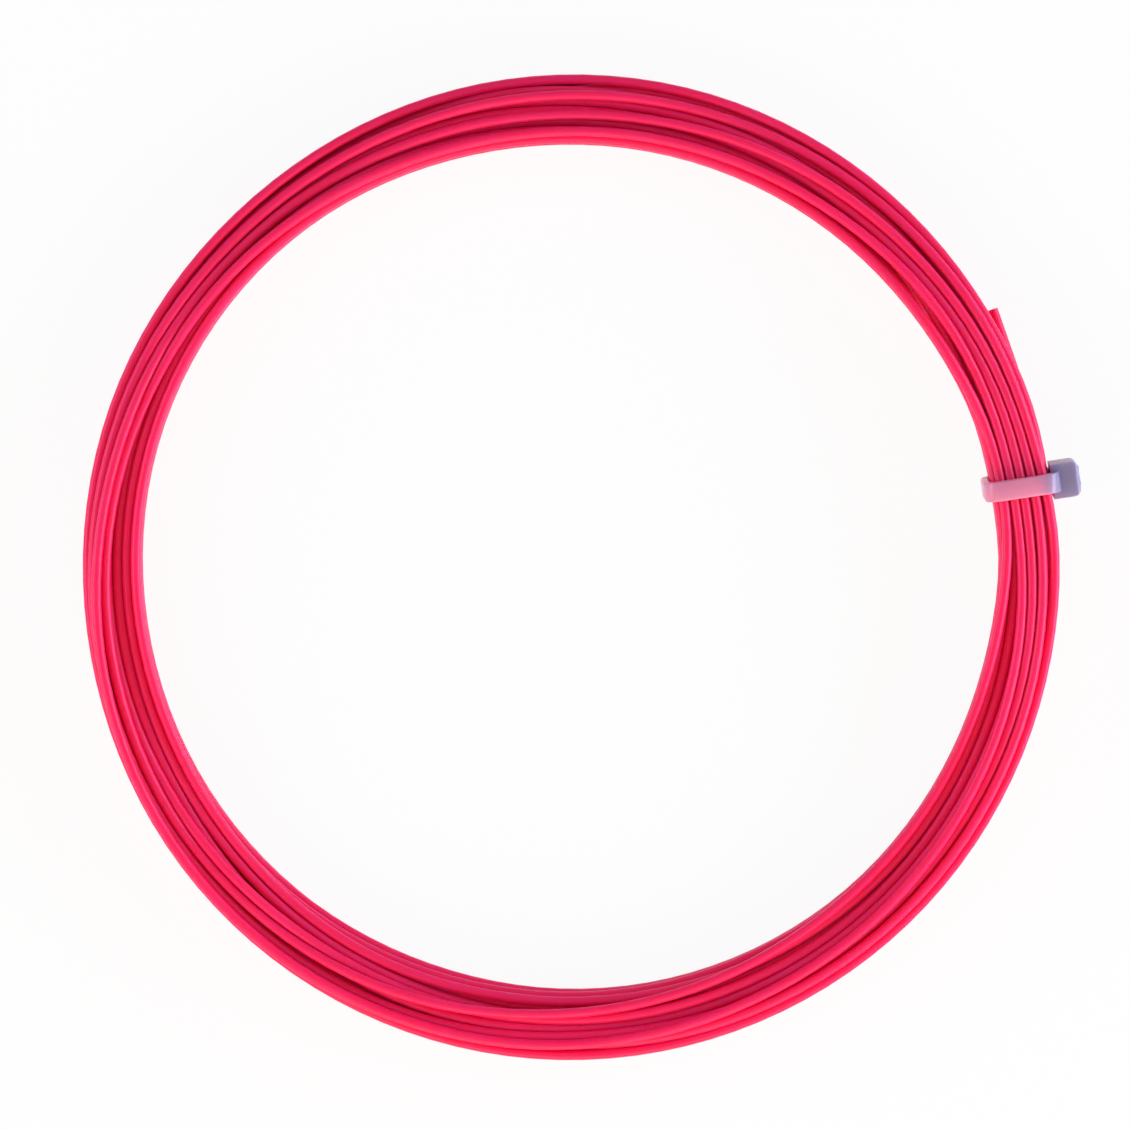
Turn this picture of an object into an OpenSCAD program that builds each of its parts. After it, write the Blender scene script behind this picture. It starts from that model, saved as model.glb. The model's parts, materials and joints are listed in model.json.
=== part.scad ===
// A set of racket string: one string wound in a flat ring and held by one small cable tie.
// The ring lies on the plane Z = 0 round the Z axis, and the tie sits on it at +X.
// Millimetres and degrees.

/* [String] */
// Diameter of the string
string_d = 1.25; // [1.1:0.01:1.4]
// Mean diameter of the ring
coil_d = 115; // [100:1:140]
// Turns side by side in each layer
layer_turns = 5; // [3:1:6]
// Layers of turns, one above the other
layers = 4; // [2, 4]
// Clear gap between turns side by side
side_gap = 0.43; // [0.42:0.01:0.8]
// Clear gap between one layer and the next
layer_gap = 0.65; // [0.42:0.01:0.8]

/* [String ends] */
// Angle past the tie at which the outer end is cut
end_angle = 21; // [16:1:40]
// How far the outer end springs out of the ring
end_spring = 2.1; // [0:0.1:4]

/* [Tie strap] */
// Width of the strap
strap_w = 2.5; // [2:0.1:3.6]
// Thickness of the strap over its teeth
strap_t = 1; // [0.8:0.05:1.3]
// Pitch of the teeth
tooth_pitch = 0.7; // [0.6:0.05:0.9]
// Depth of the teeth
tooth_h = 0.3; // [0.2:0.05:0.4]
// Width of the smooth rail on each side of the teeth
rail_w = 0.5; // [0.3:0.05:0.7]
// Inner radius of the bends round the bundle
bend_r = 1; // [0.6:0.1:1.2]
// Inner radius of the bend into the head
turn_r = 0.6; // [0.4:0.1:1]
// Straight run between the last bend and the bend into the head
turn_run = 0.9; // [0.4:0.1:1.2]
// Length of strap left proud of the head where it is cut
stub = 0.2; // [0:0.1:1]
// Length of smooth strap next to the head
smooth_run = 3; // [2:0.5:8]
// Depth of the strap's root below the top of the head
root_run = 0.6; // [0.4:0.1:1]

/* [Tie head] */
// Size of the head along the ring
head_w = 4.4; // [4:0.1:6]
// Height of the head
head_l = 4.9; // [4.6:0.1:7]
// Size of the head away from the ring
head_t = 3.5; // [3.2:0.1:5]
// Wall under the strap, which the strap's smooth side bears on
head_floor = 1.1; // [0.8:0.1:1.5]
// Radius of the head's upright outer edges
head_edge_r = 0.9; // [0.4:0.1:1.2]
// Radius of the head's level outer edges
head_rim_r = 0.5; // [0.2:0.1:1]

/* [Tie pawl] */
// Thickness of the pawl without its teeth
pawl_t = 0.6; // [0.5:0.05:0.7]
// Place of the pawl's hinge, outwards from the head's inner face
pawl_in = 0.75; // [0.6:0.05:1]
// Teeth on the pawl
pawl_teeth = 2; // [1:1:2]
// Angle that the pawl can swing open
pawl_swing = 12; // [10:1:15]

/* [Fits] */
// Clearance between the bundle and the strap
tie_clear = 0.25; // [0.2:0.05:0.4]
// Clearance of the strap and the pawl in the head
head_clear = 0.08; // [0.05:0.01:0.12]
// Lean of the tie about the line across the ring
tie_lean = 6.5; // [0:0.5:8]
// Turn of the tie about the upright line
tie_skew = 2; // [0:0.5:5]

/* [Hidden] */

ring_steps = 24;
ring_sides = 6;
step_a = 360 / ring_steps;
half_a = step_a / 2;
arc_angle = 15;
past = 1;
bite = 0.01;
string_r = string_d / 2;
coil_r = coil_d / 2;
pitch = string_d + side_gap;
layer_pitch = string_d + layer_gap;
last_turn = layers * layer_turns - 1;
flat_cut = string_d / 10;
lift_end = 3.5 * step_a;
climb_turns = 0.5;

// Half the height of a faceted string with a flat side down
string_h = string_r * sin(60);

// The bundle of turns where the tie holds it, and the tie's inner faces round it
bundle_x = coil_r * cos(half_a);
bundle_hw = (layer_turns - 1) / 2 * pitch * cos(half_a) + string_r + pitch / ring_steps / 2;
bundle_hh = (layers - 1) / 2 * layer_pitch + string_h;
tie_hw = bundle_hw + tie_clear;
tie_hh = bundle_hh + tie_clear;
tie_z = (tie_hh + strap_t) * cos(tie_lean) + strap_w / 2 * sin(tie_lean);

// Heights of the lowest layer's centre line, away from the tie and at it
low_z = string_r - flat_cut;
tied_z = tie_z - bundle_hh + string_h;

// ---- String ----

function smooth(f) = let (g = min(max(f, 0), 1)) g * g * (3 - 2 * g);

// Turns are counted from the tie, where the lowest, outermost turn passes at 0
function side_of(u) =
    let (v = (u + 0.5) / layer_turns, f = v - floor(v))
    (floor(v) % 2 == 0 ? 0.5 - f : f - 0.5) * layer_turns * pitch;

// Layers climbed by turn u, each in the half turn round the place where the spiral reverses
function climbs(u, k) =
    k == 0 ? 0 : smooth((u - k * layer_turns + 0.5) / climb_turns + 0.5) + climbs(u, k - 1);

function from_tie(a) = abs((a % 360 + 540) % 360 - 180);

function lift_of(a) =
    (tied_z - low_z) * smooth((lift_end - from_tie(a)) / (lift_end - half_a));

// A station is [angle, distance from the axis, height]
function station(a) =
    let (u = -a / 360)
    [a, coil_r + side_of(u), low_z + layer_pitch * climbs(u, layers - 1) + lift_of(a)];

function sprung(a) =
    station(a) + [0, end_spring * smooth((a - half_a) / (end_angle - half_a)), 0];

end_steps = 3;
last_station = station(-360 * last_turn);

stations = concat(
    [for (k = [0 : end_steps - 1]) sprung(end_angle + (half_a - end_angle) * k / end_steps)],
    [for (k = [0 : last_turn * ring_steps]) station(half_a - k * step_a)],
    [[last_station[0], last_station[1] * cos(half_a), last_station[2]]]
);

function point_of(s) = [s[1] * cos(s[0]), s[1] * sin(s[0]), s[2]];

centres = [for (s = stations) point_of(s)];

function to_segment(p, a, b) =
    let (d = b - a, f = min(max((p - a) * d / (d * d), 0), 1))
    norm(p - a - f * d);

// Least clear gap between one turn and another, over every point and every later segment
least_gap = min([
    for (i = [0 : len(centres) - 1])
        for (j = [i + ring_steps / 2 : 1 : len(centres) - 2])
            to_segment(centres[i], centres[j], centres[j + 1])
]) - string_d;

string_length = [for (i = [0 : len(centres) - 2]) norm(centres[i + 1] - centres[i])]
    * [for (i = [0 : len(centres) - 2]) 1];

function ring_of(s) = [
    for (j = [0 : ring_sides - 1])
        let (q = 360 / ring_sides * j)
        point_of([s[0], s[1] + string_r * cos(q), max(0, s[2] + string_r * sin(q))])
];

module tube(rings) {
    n = len(rings[0]);
    last = len(rings) - 1;
    points = [for (ring = rings) each ring];
    sides = [
        for (i = [0 : last - 1])
            for (j = [0 : n - 1])
                let (a = i * n + j, b = i * n + (j + 1) % n)
                each [[a, a + n, b], [b, a + n, b + n]]
    ];
    first_cap = [for (j = [1 : n - 2]) [0, j, j + 1]];
    last_cap = [for (j = [1 : n - 2]) [last * n, last * n + j + 1, last * n + j]];
    polyhedron(points = points, faces = concat(sides, first_cap, last_cap), convexity = 10);
}

module string_coil() {
    echo(least_gap_mm = least_gap, string_length_mm = string_length);
    color("#f2306f") tube([for (s = stations) ring_of(s)]);
}

// ---- Tie ----
// Drawn across the bundle: X runs out of the ring, Y runs up, and Z runs along the ring.

// Centre line of the strap, from inside the head round the bundle and out through the head,
// as pieces of [length, turn to the left]
line_r = bend_r + strap_t / 2;
line_hw = tie_hw + strap_t / 2;
line_hh = tie_hh + strap_t / 2;

// Level of the strap's smooth side in the head, and the head's ends
slot_y = line_r - line_hh + turn_run + turn_r;
head_bottom = slot_y - head_clear - head_floor;
head_top = head_bottom + head_l;
root_y = head_top - root_run;

bend = PI / 2 * line_r;
through_run = head_t + stub - strap_t - turn_r;
strap_line = [
    [line_hh - line_r - root_y, 0],
    [bend, 90],
    [2 * (line_hw - line_r), 0],
    [bend, 90],
    [2 * (line_hh - line_r), 0],
    [bend, 90],
    [2 * (line_hw - line_r), 0],
    [bend, 90],
    [turn_run, 0],
    [PI / 2 * (turn_r + strap_t / 2), -90],
    [through_run, 0]
];

// Number of the piece that is the straight run into the head
lead_piece = len(strap_line) - 3;

function sum_to(list, k) = k == 0 ? 0 : list[k - 1][0] + sum_to(list, k - 1);

strap_length = sum_to(strap_line, len(strap_line));

// Place and heading [x, y, heading] at a distance s along pieces of line
function along(s, p = [line_hw, root_y, 90], k = 0) =
    s <= strap_line[k][0] || k == len(strap_line) - 1
        ? moved(p, s, strap_line[k][1] * s / strap_line[k][0])
        : along(s - strap_line[k][0], moved(p, strap_line[k][0], strap_line[k][1]), k + 1);

function moved(p, s, turn) =
    let (reach = turn == 0 ? s : s * sin(turn / 2) / (turn / 2 * PI / 180), h = p[2] + turn / 2)
    [p[0] + reach * cos(h), p[1] + reach * sin(h), p[2] + turn];

// Point at distance s along the line and off to its left, which is the toothed side
function beside(s, off) = let (p = along(s)) [p[0] - off * sin(p[2]), p[1] + off * cos(p[2])];

// Distances that a curve is drawn through, from the piece numbered first to the last
function marks(first) = concat(
    [
        for (k = [first : len(strap_line) - 1])
            let (n = max(1, abs(strap_line[k][1]) / arc_angle))
            for (i = [0 : n - 1]) sum_to(strap_line, k) + strap_line[k][0] * i / n
    ],
    [strap_length]
);

module band(first, left, right, beyond) {
    s = marks(first);
    polygon(concat(
        [beside(s[0] - beyond, left)],
        [for (v = s) beside(v, left)],
        [beside(strap_length + beyond, left), beside(strap_length + beyond, right)],
        [for (i = [len(s) - 1 : -1 : 0]) beside(s[i], right)],
        [beside(s[0] - beyond, right)]
    ));
}

// The spaces between the strap's teeth. Each tooth is steep towards the head's inner face
// and slopes towards the cut end, so that the strap only pulls through one way.
module tooth_spaces() {
    count = floor((strap_length - smooth_run) / tooth_pitch);
    crest = strap_t / 2;
    outside = crest + tooth_h;
    polygon(concat(
        [for (k = [count : -1 : 0]) let (s = strap_length - k * tooth_pitch) each
            k == 0 ? [beside(s, crest - tooth_h)]
            : k == count ? [beside(s, crest)]
            : [beside(s, crest - tooth_h), beside(s, crest)]],
        [for (k = [0 : count]) beside(strap_length - k * tooth_pitch, outside)]
    ));
}

module across(width) {
    rotate([90, 0, 0]) linear_extrude(width, center = true) children();
}

module on_bundle() {
    translate([bundle_x, 0, tie_z]) rotate([tie_lean, 0, -tie_skew]) children();
}

module strap() {
    difference() {
        across(strap_w) band(0, strap_t / 2, -strap_t / 2, 0);
        across(strap_w - 2 * rail_w) tooth_spaces();
    }
}

// A square with its two outer corners round
module outer_rounded(size, r) {
    square([size[0] - r, size[1]]);
    translate([0, r]) square([size[0], size[1] - 2 * r]);
    for (y = [r, size[1] - r]) translate([size[0] - r, y]) circle(r, $fn = 48);
}

module head_block() {
    intersection() {
        across(head_w + past)
            translate([tie_hw, head_bottom]) outer_rounded([head_t, head_l], head_rim_r);
        translate([tie_hw, -head_w / 2, head_bottom - past])
            linear_extrude(head_l + 2 * past) outer_rounded([head_t, head_w], head_edge_r);
    }
}

// ---- Pawl ----

pawl_x = tie_hw + pawl_in;
pawl_y = slot_y + strap_t + head_clear + pawl_t / 2;
pawl_tip_x = tie_hw + head_t + stub - tooth_pitch - head_clear;
pawl_w = strap_w - 2 * rail_w - 2 * head_clear;
pawl_under = pawl_y - pawl_t / 2;
chamber_r = pawl_t / 2 + head_clear;

// The room that the pawl swings in, open at the head's outer face
module chamber() {
    reach = tie_hw + head_t + past - pawl_x;
    translate([pawl_x, pawl_y]) {
        circle(chamber_r, $fn = 48);
        polygon([
            [0, -chamber_r],
            [reach, -chamber_r],
            [reach, reach * tan(pawl_swing) + chamber_r / cos(pawl_swing)],
            chamber_r * [-sin(pawl_swing), cos(pawl_swing)]
        ]);
    }
}

module head() {
    bore_t = strap_t / 2 + head_clear;
    difference() {
        head_block();
        across(strap_w + 2 * head_clear) band(lead_piece, bore_t, -bore_t, past);
        across(pawl_w + 2 * head_clear) chamber();
    }
}

module cable_tie() {
    color("#d9d6e3") on_bundle() {
        strap();
        head();
    }
}

// The living hinge is drawn as a round heel in a round seat
module cable_tie_pawl() {
    echo(hinge_local_mm = [pawl_x, pawl_y], tie_at_mm = [bundle_x, tie_z]);
    color("#d9d6e3") on_bundle() across(pawl_w) {
        translate([pawl_x, pawl_y]) circle(pawl_t / 2, $fn = 48);
        translate([pawl_x, pawl_under]) square([pawl_tip_x - pawl_x, pawl_t]);
        for (k = [0 : pawl_teeth - 1])
            translate([pawl_tip_x - k * tooth_pitch, pawl_under])
                polygon([[0, bite], [-tooth_pitch, bite], [-tooth_pitch, 0], [0, -tooth_h]]);
    }
}

string_coil();
cable_tie();
cable_tie_pawl();
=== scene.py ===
# %% [markdown]
# # A coil of racket string held by one cable tie
#
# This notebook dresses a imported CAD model.  The object is a set of racket
# string as it comes off the winding machine: one long monofilament, wound
# into a flat ring and held by a small nylon cable tie.  The string in the CAD
# model is a simplified winding with far fewer turns, so a full-length one
# takes its place.  The tie keeps its form, but its edges are rounded and its
# strap is drawn tight round the slimmer bundle.  The pawl inside its head is
# already right and only gets a better material.
#
# Everything is in metres and in the frame of the CAD model.  The ring lies
# in the XY plane, its middle is at the origin and the tie is on the +X side.

# %% Load the frame
import json
import math

import bmesh
import bpy
import numpy as np
from mathutils import Matrix, Vector

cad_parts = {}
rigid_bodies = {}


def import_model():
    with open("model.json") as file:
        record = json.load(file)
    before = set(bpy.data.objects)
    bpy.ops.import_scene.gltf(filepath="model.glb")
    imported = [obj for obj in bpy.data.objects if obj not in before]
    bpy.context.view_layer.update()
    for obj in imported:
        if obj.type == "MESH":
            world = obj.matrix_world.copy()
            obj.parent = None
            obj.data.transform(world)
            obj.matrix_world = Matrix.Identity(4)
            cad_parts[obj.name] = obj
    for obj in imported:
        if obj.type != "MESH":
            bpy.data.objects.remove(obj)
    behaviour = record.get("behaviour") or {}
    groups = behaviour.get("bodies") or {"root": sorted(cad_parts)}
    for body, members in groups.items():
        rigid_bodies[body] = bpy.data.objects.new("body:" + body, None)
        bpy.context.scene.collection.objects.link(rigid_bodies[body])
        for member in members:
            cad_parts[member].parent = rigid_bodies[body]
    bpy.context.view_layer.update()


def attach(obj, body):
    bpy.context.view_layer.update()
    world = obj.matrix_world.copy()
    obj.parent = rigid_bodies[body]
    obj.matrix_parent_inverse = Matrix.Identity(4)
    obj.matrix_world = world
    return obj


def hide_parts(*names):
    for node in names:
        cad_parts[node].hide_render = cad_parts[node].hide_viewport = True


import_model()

MM = 0.001

# %% [markdown]
# ## The camera
#
# A flat coil is best seen from straight above.  The camera stands well back
# with a long lens, so that the ring looks round and its inner wall doesn't
# show.  The coil was put down slightly turned, with its tie a little above
# three o'clock, so the camera is turned by the same ten degrees.

# %% The camera
CAMERA_HEIGHT = 1.3
COIL_MID_HEIGHT = 0.005
# width of the view at the coil, and how far its middle lies aside, to the right and up
FRAME_WIDTH = 0.1418
ASIDE = (-0.00073, 0.00036)
ROLL = math.radians(-10.5)
SENSOR_WIDTH = 36

camera_data = bpy.data.cameras.new("camera")
camera_data.sensor_fit = "HORIZONTAL"
camera_data.sensor_width = SENSOR_WIDTH
camera_data.lens = SENSOR_WIDTH * (CAMERA_HEIGHT - COIL_MID_HEIGHT) / FRAME_WIDTH
camera = bpy.data.objects.new("camera", camera_data)
bpy.context.collection.objects.link(camera)
right = Vector((math.cos(ROLL), math.sin(ROLL), 0))
up = Vector((-math.sin(ROLL), math.cos(ROLL), 0))
camera.location = right * ASIDE[0] + up * ASIDE[1] + Vector((0, 0, CAMERA_HEIGHT))
camera.rotation_euler = (0, 0, ROLL)
bpy.context.scene.camera = camera
print("camera at", [round(v, 4) for v in camera.location], "lens", round(camera_data.lens, 1))

# %% [markdown]
# ## How the string lies
#
# A 12 m set of 1.25 mm string makes about 33 turns of this ring.  The turns
# aren't a tidy spiral.  On a machine the string wanders across the bundle,
# and when the tie is pulled tight the turns settle into each other's gaps.
#
# It could be made as a spiral with some noise, but then the turns would run
# through each other.  Here the string is wound first and then settled: the
# cut through the bundle is a heap of circles at each of 120 places round the
# ring, and the circles push each other apart while the string stays smooth.
# One point of the string has two numbers, how far it lies outside the ring's
# mean radius, and how high its centre is.  Its place round the ring is given.

# %% The string's and the ring's sizes, in millimetres
STRING = 1.25
MEAN_RADIUS = 57.3
PLACES = 120

# the loose outer end: where it is cut and where it leaves the bundle, in degrees
# past the tie, and how far it springs out
STRING_END = 21.0
SPRING_START = 8.5
END_SPRING = 1.45

# width of the bundle and how far its middle leaves the mean radius, every 30
# degrees from the tie, anticlockwise
BUNDLE_WIDTH = [7.4, 8.2, 8.75, 8.5, 7.1, 7.1, 7.6, 8.45, 9.0, 8.7, 8.4, 8.3]
BUNDLE_SHIFT = [0.05, 0.2, 0.35, 0.3, 0.4, 0.45, 0.15, 0.15, -0.05, 0.1, 0.1, -0.05]

# what the closed strap leaves free, from the table up, and the degrees from the
# tie within which the turns keep that height and come back from it
TIE_FLOOR = 1.29
FLOOR_ANGLES = (4.5, 48)
TIE_ROOF = 8.21
ROOF_ANGLES = (3.5, 60)
OPEN_ROOF = 9

# the tie can slide, so the ring runs half as curved within the first angle, and
# takes up its curve again over the second
STRAIGHTER = 0.5
SLIDE_ANGLES = (8, 16)


def around(values, degrees):
    """A closed smooth curve through evenly spaced values."""
    n = len(values)
    v = np.array(values, float)
    x = (degrees % 360) / 360 * n
    i = np.floor(x).astype(int)
    f = x - i
    a, b, c, d = v[(i - 1) % n], v[i % n], v[(i + 1) % n], v[(i + 2) % n]
    return b + 0.5 * f * (c - a + f * (2 * a - 5 * b + 4 * c - d + f * (3 * (b - c) + d - a)))


def ease(f):
    """A smooth step from 0 to 1."""
    f = np.clip(f, 0, 1)
    return f * f * (3 - 2 * f)


print("length of one mean turn, mm:", round(2 * math.pi * MEAN_RADIUS, 1))

# %% [markdown]
# ## The winding plan
#
# The lower turns are wound to and fro across the bundle in rows, as on any
# spool.  The upper turns are the ones that are seen, so they are given one by
# one: each run below lists the angle from the tie and how far out the string
# lies there.  The string is wound clockwise, so a run is laid from its last
# entry to its first.

# %% Lay out the plan
OVER_TOP = [(278, 2.7), (298, 2.9), (324, 2.4), (350, 1.9), (386, 1.2), (410, 0.3),
            (440, -0.8), (455, -0.9), (472, -0.4), (504, 1.1), (530, 2.1), (549, 3.3),
            (570, 3.8), (600, 3.6), (620, 2.5), (641, 1.4), (663, 0.5), (690, -0.1),
            (720, -0.5), (740, -1.0), (774, -2.5), (800, -3.2), (828, -2.6), (857, -0.4),
            (868, 0.3), (890, 1.2), (910, 1.8), (928, 1.8), (944, 1.3), (961, 0.1),
            (976, -1.3), (1004, -3.2), (1018, -3.6)]
UNDER_OUT = [(335, 3.1), (386, 2.9), (414, 2.4), (440, 1.9), (465, 1.4), (493, 1.6),
             (511, 2.2), (530, 3.1), (550, 3.2), (600, 2.4), (620, 1.4)]
UNDER_IN = [(630, -0.3), (652, -0.7), (691, -1.4), (710, -1.6), (740, -2.3), (770, -3.0)]

# a turn in a row keeps its offset within these parts of the turn, then moves over
ROW_KEEPS = (0.04, 0.65)
# least part of a turn between two runs
HAND_OVER = 0.05
# the buried end leaves the top and tucks into the outer side of the bundle
BURIED_END = [(0.3, 3.2), (0.75, 2.5)]
BURIED_HEIGHT = 2.5
BURIED_TURNS = 0.7486

plan = []      # (turns wound so far, offset, height, from a listed run)
wound = 0.0


def wind_row(turns, start, end, height):
    """Whole turns side by side, from one offset to another."""
    global wound
    for offset in np.linspace(start, end, turns):
        for part in ROW_KEEPS:
            plan.append((wound + part, offset, height, 0))
        wound += 1


def lay_run(run, height):
    """A listed run, which starts as soon as its first place comes round."""
    global wound
    last = run[-1][0]
    start = np.floor(wound) + ((STRING_END - last) / 360) % 1.0
    while start < wound + HAND_OVER:
        start += 1
    for degrees, offset in run[::-1]:
        plan.append((start + (last - degrees) / 360, offset, height, 1))
    wound = start + (last - run[0][0]) / 360


# rows of six or five turns, each 1.08 mm above the last
wind_row(6, 3.1, -3.1, 0.0)
wind_row(6, -3.1, 3.1, 1.08)
wind_row(6, 3.1, -3.1, 2.16)
wind_row(5, -2.7, 2.7, 3.24)
lay_run(UNDER_IN, 4.3)
lay_run(UNDER_OUT, 4.7)
# three more turns fill what those two runs leave, from the next whole turn on
wound = np.ceil(wound + 0.1)
wind_row(3, 2.8, -2.8, 4.3)
lay_run(OVER_TOP, 5.6)
for part, offset in BURIED_END:
    plan.append((wound + part, offset, BURIED_HEIGHT, 0))
turns = wound + BURIED_TURNS
print("turns planned:", round(turns, 2))

# %% Turn the plan into points along the string
count = int(turns * PLACES)
turn = np.arange(count) / PLACES
angle = STRING_END - turn * 360
from_tie = np.abs((angle + 180) % 360 - 180)

knots = np.array(sorted(plan, key=lambda k: k[0]))
# the offset and the height of every point along the string
heap = np.stack([np.interp(turn, knots[:, 0], knots[:, 1]),
                 np.interp(turn, knots[:, 0], knots[:, 2])], 1)

# two listed places that are further apart belong to two runs
LONGEST_STEP = 0.3   # of a turn
by_hand = np.zeros(count)
for a, b in zip(knots[:-1], knots[1:]):
    if a[3] and b[3] and b[0] - a[0] < LONGEST_STEP:
        by_hand[(turn >= a[0]) & (turn <= b[0])] = 1


def rounded(values, spread):
    """Gaussian smoothing along the string."""
    reach = np.arange(-3 * spread, 3 * spread + 1)
    weights = np.exp(-0.5 * (reach / spread) ** 2)
    padded = np.pad(values, 3 * spread, mode="edge")
    return np.convolve(padded, weights / weights.sum(), "valid")


heap[:, 0] = rounded(heap[:, 0], spread=6)
heap[:, 1] = rounded(heap[:, 1], spread=6)
by_hand = rounded(by_hand, spread=4)
wanted = heap[:, 0].copy()

# the corridor that the turns lie in
half_width = (around(BUNDLE_WIDTH, angle) - STRING) / 2
near, back = SLIDE_ANGLES
sagitta = 1 / np.cos(np.radians(np.minimum(from_tie, near))) - 1
straight = STRAIGHTER * MEAN_RADIUS * sagitta * ease((near + back - from_tie) / back)
middle = around(BUNDLE_SHIFT, angle) + straight
flat, climb = FLOOR_ANGLES
floor = STRING / 2 + TIE_FLOOR * ease((flat + climb - from_tie) / climb)
flat, climb = ROOF_ANGLES
roof = TIE_ROOF - STRING / 2 + OPEN_ROOF * ease((from_tie - flat) / climb)
# how far the loose outer end stands off
spring = END_SPRING * (np.clip(angle - SPRING_START, 0, None) / (STRING_END - SPRING_START)) ** 2
print("points:", count, " lifted at the tie by", round(floor.max() - STRING / 2, 2), "mm")

# %% [markdown]
# ## Settling the turns
#
# Each step smooths the string a little, since monofilament resists bending,
# lets it sink, and pushes apart every pair of circles that overlap at the
# same place round the ring.  The table, the strap and the sides of the bundle
# are limits that no point passes.  The last steps smooth less and push more,
# so that the turns end up clear of each other.

# %% Settle the turns into each other's gaps
STEPS = 650
SINKING_STEPS = 0.85 * STEPS
JITTER = 0.04        # mm
SINK = 0.004         # mm in each step
HAND_PULL = 0.12     # towards the wanted offset, in each step
STIFF = 0.5
TIGHT, TIGHT_AT_LAST = 0.15, 0.08
PUSHES, PUSHES_AT_LAST = 2, 4
CROWDING = 0.6       # how much each further neighbour weakens a push

rng = np.random.default_rng(seed=3)
heap[:, 0] += rng.normal(0, JITTER, count)
heap[:, 1] += floor + rng.normal(0, JITTER, count)

rows = math.ceil(turns)
at_place = np.arange(PLACES)[:, None] + PLACES * np.arange(rows)[None, :]
there = at_place < count
at_place = np.where(there, at_place, 0)
pairs = there[:, :, None] & there[:, None, :] & ~np.eye(rows, dtype=bool)[None]


def unbend(points, stiff, tight):
    """Even out the string's bends, and draw it tight."""
    new = points.copy()
    new[2:-2] = (4 * (points[1:-3] + points[3:-1]) - points[:-4] - points[4:]) / 6
    points[2:-2] += stiff * (new[2:-2] - points[2:-2])
    new = points.copy()
    new[1:-1] = (points[:-2] + points[2:]) / 2
    points[1:-1] += tight * (new[1:-1] - points[1:-1])


for step in range(STEPS):
    settling = step < SINKING_STEPS
    unbend(heap, STIFF, TIGHT if settling else TIGHT_AT_LAST)
    heap[0] = 2 * heap[1] - heap[2]
    heap[-1] = 2 * heap[-2] - heap[-3]
    if settling:
        heap[:, 1] -= SINK
        heap[:, 0] += HAND_PULL * by_hand * (wanted - heap[:, 0])
    for _ in range(PUSHES if settling else PUSHES_AT_LAST):
        spots = heap[at_place]
        apart = spots[:, :, None, :] - spots[:, None, :, :]
        gap = np.sqrt((apart ** 2).sum(-1)) + 1e-9
        overlap = np.where(pairs & (gap < STRING), STRING - gap, 0)
        push = (apart / gap[..., None] * overlap[..., None] * 0.5).sum(2)
        push /= np.maximum(1, (overlap > 0).sum(2) * CROWDING)[..., None]
        heap[at_place[there]] += push[there]
        heap[:, 1] = np.clip(heap[:, 1], floor, roof)
        heap[:, 0] = np.clip(heap[:, 0], middle - half_width, middle + half_width)

heap = np.stack([rounded(heap[:, 0], spread=1), rounded(heap[:, 1], spread=1)], 1)
spots = heap[at_place]
FAR = 99             # for a circle and itself, and where no string passes
gap = np.sqrt(((spots[:, :, None, :] - spots[:, None, :, :]) ** 2).sum(-1)) + FAR * ~pairs
print("spacing in diameters: least", round(gap.min() / STRING, 3),
      "median", round(float(np.median(gap.min(axis=2))) / STRING, 3))

# %% The string's centre line
FIRST_PART = 0.2     # of a turn, which holds the loose outer end
heap[:, 0] += np.where(turn < FIRST_PART, spring, 0)
radius = (MEAN_RADIUS + heap[:, 0]) * MM
theta = np.radians(angle)
line = np.stack([radius * np.cos(theta), radius * np.sin(theta), heap[:, 1] * MM], 1)
length = float(np.linalg.norm(np.diff(line, axis=0), axis=1).sum())
top = line[:, 2].max() / MM + STRING / 2
print("string length, m:", round(length, 3), " top of the bundle, mm:", round(top, 2))

# %% [markdown]
# ## The string
#
# A monofilament is a plain round rod, so a curve with a round bevel is the
# quickest way to make it.  The curve is then turned into a mesh, which keeps
# the UV map that runs along the string: the material needs it to draw its
# fine lines lengthwise.

# %% Sweep a round section along the line
curve = bpy.data.curves.new("string", "CURVE")
curve.dimensions = "3D"
curve.bevel_depth = STRING / 2 * MM
curve.bevel_resolution = 5
curve.use_fill_caps = True
curve.twist_mode = "Z_UP"
spline = curve.splines.new("POLY")
spline.points.add(count - 1)
spline.points.foreach_set("co", np.hstack([line, np.ones((count, 1))]).ravel())
spline.use_smooth = True
swept = bpy.data.objects.new("swept", curve)
bpy.context.collection.objects.link(swept)
bpy.context.view_layer.update()
mesh = bpy.data.meshes.new_from_object(swept.evaluated_get(bpy.context.evaluated_depsgraph_get()))
bpy.data.objects.remove(swept)
mesh.name = "wound_string"
string = bpy.data.objects.new("wound_string", mesh)
bpy.context.collection.objects.link(string)
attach(string, "coil")
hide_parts("string_coil")
print("triangles:", sum(len(p.vertices) - 2 for p in mesh.polygons), "UV:", [u.name for u in mesh.uv_layers])

# %% [markdown]
# ## Writing materials as sums
#
# Shader nodes are easier to read as arithmetic.  `Wire` wraps one socket of a
# node tree, so that an expression such as `1 - mask * 0.3` adds the Math
# nodes by itself.  `node` adds any other node.

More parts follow.
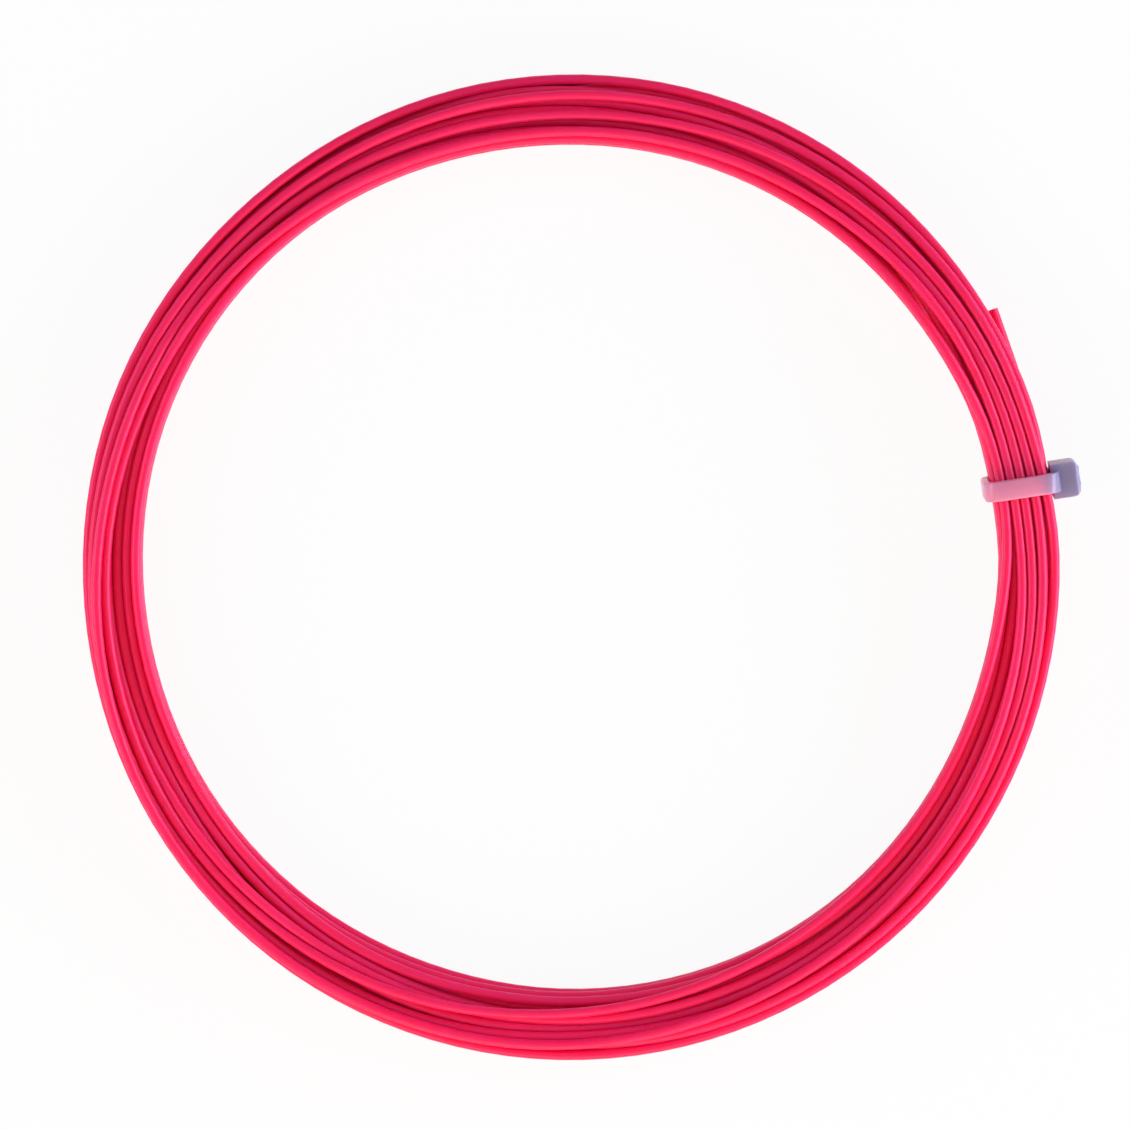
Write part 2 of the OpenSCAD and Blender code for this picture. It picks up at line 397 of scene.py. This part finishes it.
# %% A small helper for shader maths
class Wire:
    """One output socket of a node, or just the tree when the socket is None."""

    def __init__(self, tree, socket):
        self.tree, self.socket = tree, socket

    def math(self, operation, *values):
        return self.node("ShaderNodeMath", dict(operation=operation), *values)

    def node(self, kind, settings=None, *values, output=0, **named):
        """Any node: its settings, then its inputs in order or by name."""
        new = self.tree.nodes.new(kind)
        for name, value in (settings or {}).items():
            setattr(new, name, value)
        for key, value in [*enumerate(values), *named.items()]:
            if isinstance(value, Wire):
                self.tree.links.new(value.socket, new.inputs[key])
            elif value is not None:
                new.inputs[key].default_value = value
        return Wire(self.tree, new.outputs[output])

    def __add__(self, other):
        return self.math("ADD", self, other)

    def __radd__(self, other):
        return self.math("ADD", other, self)

    def __sub__(self, other):
        return self.math("SUBTRACT", self, other)

    def __rsub__(self, other):
        return self.math("SUBTRACT", other, self)

    def __mul__(self, other):
        return self.math("MULTIPLY", self, other)

    def __rmul__(self, other):
        return self.math("MULTIPLY", other, self)


def new_material(name):
    """A material with its tree, its shader and a Wire to start from."""
    material = bpy.data.materials.new(name)
    material.use_nodes = True
    tree = material.node_tree
    shader = tree.nodes["Principled BSDF"]
    return material, tree, shader, Wire(tree, None)


def feed(wire, shader, socket):
    """Link a wire into one of the shader's sockets."""
    wire.tree.links.new(wire.socket, shader.inputs[socket])


def mix_colours(factor, first, second):
    """The Mix node keeps its two colours in inputs 6 and 7, and their mix in output 2."""
    unused = [None] * 5
    return factor.node("ShaderNodeMix", dict(data_type="RGBA"), factor, *unused, first, second, output=2)


print("materials are written with Wire")

# %% [markdown]
# ## The string's finish
#
# Racket string is polyester drawn through a die.  It is coloured right
# through, smooth, a little waxy, and light goes a short way into it, so the
# gaps between turns glow a deeper red.  The die leaves very fine lines along
# the string, and handling leaves hazy stretches.

# %% The string's material
PINK = (0.93, 0.009, 0.102, 1)
PALER_PINK = (0.93, 0.018, 0.16, 1)
HAZE_LENGTH = 12 * MM
LINE_LENGTH = 20 * MM
LINES_AROUND = 40.0


def string_material():
    material, tree, shader, w = new_material("string_monofilament")
    shader.inputs["Subsurface Weight"].default_value = 0.85
    shader.inputs["Subsurface Radius"].default_value = (1.0, 0.15, 0.25)
    shader.inputs["Subsurface Scale"].default_value = MM
    shader.inputs["IOR"].default_value = 1.5
    shader.inputs["Specular IOR Level"].default_value = 0.35
    uv = w.node("ShaderNodeTexCoord", output="UV")
    along = w.node("ShaderNodeSeparateXYZ", None, uv, output="X")
    about = w.node("ShaderNodeSeparateXYZ", None, uv, output="Y")
    stretch = w.node("ShaderNodeCombineXYZ", None, along * (length / HAZE_LENGTH), about, 0.0)
    fine = w.node("ShaderNodeCombineXYZ", None, along * (length / LINE_LENGTH), about * LINES_AROUND, 0.0)
    haze = w.node("ShaderNodeTexNoise", None, Vector=stretch, Scale=1.0, Detail=3.0)
    lines = w.node("ShaderNodeTexNoise", None, Vector=fine, Scale=1.0, Detail=2.0)
    feed(mix_colours(haze, PINK, PALER_PINK), shader, "Base Color")
    feed(0.30 + haze * 0.16 + lines * 0.06, shader, "Roughness")
    bump = w.node("ShaderNodeBump", None, Strength=0.15, Distance=0.02 * MM, Height=lines + haze * 0.5)
    feed(bump, shader, "Normal")
    return material


mesh.materials.append(string_material())
for polygon in mesh.polygons:
    polygon.use_smooth = True
print("string finished:", mesh.materials[0].name)

# %% [markdown]
# ## The cable tie's shape
#
# A cable tie is one nylon moulding: a head with a window, and a strap whose
# teeth catch on the pawl in that window.  Here the strap is closed round the
# turns and cut off short.  Its edges come rounded out of the mould, most of
# all those of the strap.
#
# It could be modelled anew, but the CAD node has every form in its right
# place.  So a copy of it is bevelled, with a weight on each edge, since the
# teeth and the window are far finer than the strap.

# %% Round the tie's edges
# where the tie sits on the ring: X out of the ring, Y along it, Z up
TIE_AT = (57.01 * MM, 0, 4.75 * MM)
TIE_SKEW = math.radians(-2)
TIE_LEAN = math.radians(6.5)
TIE_PLACE = (Matrix.Translation(TIE_AT) @ Matrix.Rotation(TIE_SKEW, 4, "Z")
             @ Matrix.Rotation(TIE_LEAN, 4, "X")).inverted()

# half the strap's width and its thickness, the inner face of the head, and the
# strap's bore: half its sizes without its round corners, and their radius
STRAP_SIDE = 1.25 * MM
STRAP_THICK = 1.0 * MM
HEAD_FACE = 4.24 * MM
BORE = (3.24 * MM, 2.64 * MM)
BEND = 1.0 * MM

# radius of the strap's outer edges, and the parts of it that finer edges get
EDGE_RADIUS = 0.28 * MM
FINE = 0.35
FINER = 0.08
SHARP = math.radians(40)
SMALL = 0.03 * MM


def edge_weight(edge, turned):
    """How round an edge of the tie is: its strap's outer edges most, its head's least."""
    spot = TIE_PLACE @ edge.verts[0].co.lerp(edge.verts[1].co, 0.5)
    past_head = spot.x - HEAD_FACE
    off_bore = math.hypot(max(abs(spot.x) - BORE[0], 0), max(abs(spot.z) - BORE[1], 0)) - BEND
    of_strap = any(abs((turned @ f.normal).y) > 0.9
                   and abs(abs((TIE_PLACE @ f.calc_center_median()).y) - STRAP_SIDE) < SMALL
                   for f in edge.link_faces)
    if of_strap and off_bore > 0.6 * STRAP_THICK:
        # full roundness fades to fine over the last thickness before the head
        return min(max(FINE - (1 - FINE) * past_head / STRAP_THICK, FINE), 1.0)
    return FINER if past_head > -0.1 * MM and not of_strap else FINE


def rounded_copy(node, name, radius):
    """A copy of a CAD node whose edges are rounded by their weights."""
    copy = bpy.data.objects.new(name, bpy.data.objects[node].data.copy())
    bpy.context.collection.objects.link(copy)
    bm = bmesh.new()
    bm.from_mesh(copy.data)
    bmesh.ops.remove_doubles(bm, verts=bm.verts, dist=0.001 * MM)
    bmesh.ops.dissolve_limit(bm, angle_limit=math.radians(1), verts=bm.verts, edges=bm.edges)
    weight = bm.edges.layers.float.new("bevel_weight_edge")
    turned = TIE_PLACE.to_3x3()
    for e in bm.edges:
        if len(e.link_faces) == 2 and e.calc_face_angle(0) > SHARP:
            e[weight] = edge_weight(e, turned)
    bm.to_mesh(copy.data)
    bm.free()
    bevel = copy.modifiers.new("rounded edges", "BEVEL")
    bevel.width = radius
    bevel.segments = 3
    bevel.limit_method = "WEIGHT"
    bevel.use_clamp_overlap = False
    bevel.harden_normals = True
    for polygon in copy.data.polygons:
        polygon.use_smooth = True
    return copy


tie = rounded_copy("cable_tie", "moulded_tie", EDGE_RADIUS)
print("faces of the tie before rounding:", len(tie.data.polygons))

# %% [markdown]
# ## The strap drawn tight
#
# The strap in the CAD model leaves room for turns with clear gaps between
# them.  Here the turns touch, so the strap is drawn a little tighter.  The
# head stays where it is, because the pawl sits in it, and the strap shortens
# towards the head's inner face.

# %% Draw the strap tighter
TIGHTER = 0.09
bm = bmesh.new()
bm.from_mesh(tie.data)
outwards = TIE_PLACE.to_3x3().inverted() @ Vector((1, 0, 0))
for vertex in bm.verts:
    vertex.co += outwards * TIGHTER * max(0, HEAD_FACE - (TIE_PLACE @ vertex.co).x)
bm.to_mesh(tie.data)
bm.free()
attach(tie, "tie")
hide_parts("cable_tie")
print("strap drawn tighter by", round(TIGHTER * 2 * HEAD_FACE / MM, 2), "mm")

# %% [markdown]
# ## The nylon
#
# Natural nylon is milky and lets light through.  The pink that the thin strap
# takes from the string under it is painted into its colour, as painted light.
# The head is thicker and is painted a darker cool grey with a touch of violet,
# as painted shade and the painted tint of the cool light.  The moulding has a
# fine grain, and cloudy places where it shines less.

# %% The nylon material
# painted light: the pink of the string showing through the milky strap
MILK_PAINTED_STRING_PINK = (1.0, 0.36, 0.56, 1)
# painted shade and painted cool light: the head darker and tinted violet
HEAD_PAINTED_SHADE_VIOLET = (0.34, 0.33, 0.52, 1)
# the strap's painted pink turns to the head's painted shade between these distances along X
HEAD_FROM, HEAD_TO = 58.5 * MM, 62.2 * MM


def nylon_material():
    material, tree, shader, w = new_material("natural_nylon")
    shader.inputs["Transmission Weight"].default_value = 0.3
    shader.inputs["Subsurface Weight"].default_value = 0.8
    shader.inputs["Subsurface Radius"].default_value = (1.0, 0.9, 0.9)
    shader.inputs["Subsurface Scale"].default_value = 1.2 * MM
    shader.inputs["IOR"].default_value = 1.53
    place = w.node("ShaderNodeTexCoord", output="Object")
    outward = w.node("ShaderNodeSeparateXYZ", None, place, output="X")
    head = w.node("ShaderNodeMapRange", dict(interpolation_type="SMOOTHSTEP"),
                  outward, HEAD_FROM, HEAD_TO, 0.0, 1.0)
    cloud = w.node("ShaderNodeTexNoise", None, Vector=place, Scale=400.0, Detail=3.0)
    grain = w.node("ShaderNodeTexNoise", None, Vector=place, Scale=5000.0, Detail=2.0)
    # paints the string's pink onto the strap, and painted shade with a violet tint of the cool light onto
    # the head
    feed(mix_colours(head * 0.9 + cloud * 0.1, MILK_PAINTED_STRING_PINK, HEAD_PAINTED_SHADE_VIOLET), shader, "Base Color")
    feed(0.22 + cloud * 0.2, shader, "Roughness")
    bump = w.node("ShaderNodeBump", None, Strength=0.2, Distance=0.03 * MM, Height=grain)
    feed(bump, shader, "Normal")
    return material


nylon = nylon_material()
for piece in (tie, bpy.data.objects["cable_tie_pawl"]):
    for slot in piece.material_slots:
        slot.material = nylon
print("nylon on", [o.name for o in bpy.data.objects if any(s.material == nylon for s in o.material_slots)])

# %% [markdown]
# ## Table and light
#
# The coil lies on a white table.  Two long soft lights stand low at its left
# and right, like the light of two windows, and a wide warm one in front of
# it.  The two cool lights fall across the turns at the left and right of the
# ring and make them pinker.  The turns in front and behind lie along that
# light, so they get more of the warm one and look redder.

# %% The table
TABLE_HALF = 1.5
TABLE_DROP = 0.03 * MM   # keeps its face apart from the string's
SEEN_WHITE = 0.92        # the rest keeps the coil's shadow


def table_material():
    """Plain white, and lit by itself where it is seen, reflected or seen through the tie."""
    material, tree, shader, w = new_material("white_table")
    shader.inputs["Base Color"].default_value = (0.94, 0.94, 0.94, 1)
    shader.inputs["Roughness"].default_value = 0.8
    bright = w.node("ShaderNodeEmission", None, Strength=1.0)
    seen = (w.node("ShaderNodeLightPath", output="Is Camera Ray")
            + w.node("ShaderNodeLightPath", output="Is Glossy Ray")
            + w.node("ShaderNodeLightPath", output="Is Transmission Ray"))
    shown = w.node("ShaderNodeMixShader", None, seen * SEEN_WHITE, Wire(tree, shader.outputs[0]), bright)
    tree.links.new(shown.socket, tree.nodes["Material Output"].inputs["Surface"])
    return material


table_mesh = bpy.data.meshes.new("table")
bm = bmesh.new()
bmesh.ops.create_grid(bm, x_segments=1, y_segments=1, size=TABLE_HALF)
bmesh.ops.translate(bm, vec=(0, 0, -TABLE_DROP), verts=bm.verts)
bm.to_mesh(table_mesh)
bm.free()
table = bpy.data.objects.new("table", table_mesh)
bpy.context.collection.objects.link(table)
table_mesh.materials.append(table_material())
print("table made,", 2 * TABLE_HALF, "m wide")

# %% The lights
WARM = (1.0, 0.67, 0.38)
COOL = (0.73, 0.8, 1.0)


def softbox(name, place, size, watts, tint):
    """A rectangular light aimed at the middle of the ring."""
    data = bpy.data.lights.new(name, "AREA")
    data.shape = "RECTANGLE"
    data.size, data.size_y = size
    data.energy = watts
    data.color = tint
    lamp = bpy.data.objects.new(name, data)
    bpy.context.collection.objects.link(lamp)
    lamp.location = place
    lamp.rotation_euler = (-place).to_track_quat("-Z", "Y").to_euler()


softbox("front light", up * -0.85 + Vector((0, 0, 0.42)), size=(1.4, 0.75), watts=10, tint=WARM)
softbox("left light", right * -0.75 + Vector((0, 0, 0.32)), size=(0.9, 0.4), watts=4.5, tint=COOL)
softbox("right light", right * 0.8 + Vector((0, 0, 0.24)), size=(0.9, 0.35), watts=9, tint=COOL)

world = bpy.data.worlds.new("studio")
bpy.context.scene.world = world
world.use_nodes = True
background = world.node_tree.nodes["Background"]
background.inputs["Color"].default_value = (1, 1, 1, 1)
background.inputs["Strength"].default_value = 0.3

bpy.context.scene.view_settings.view_transform = "Standard"
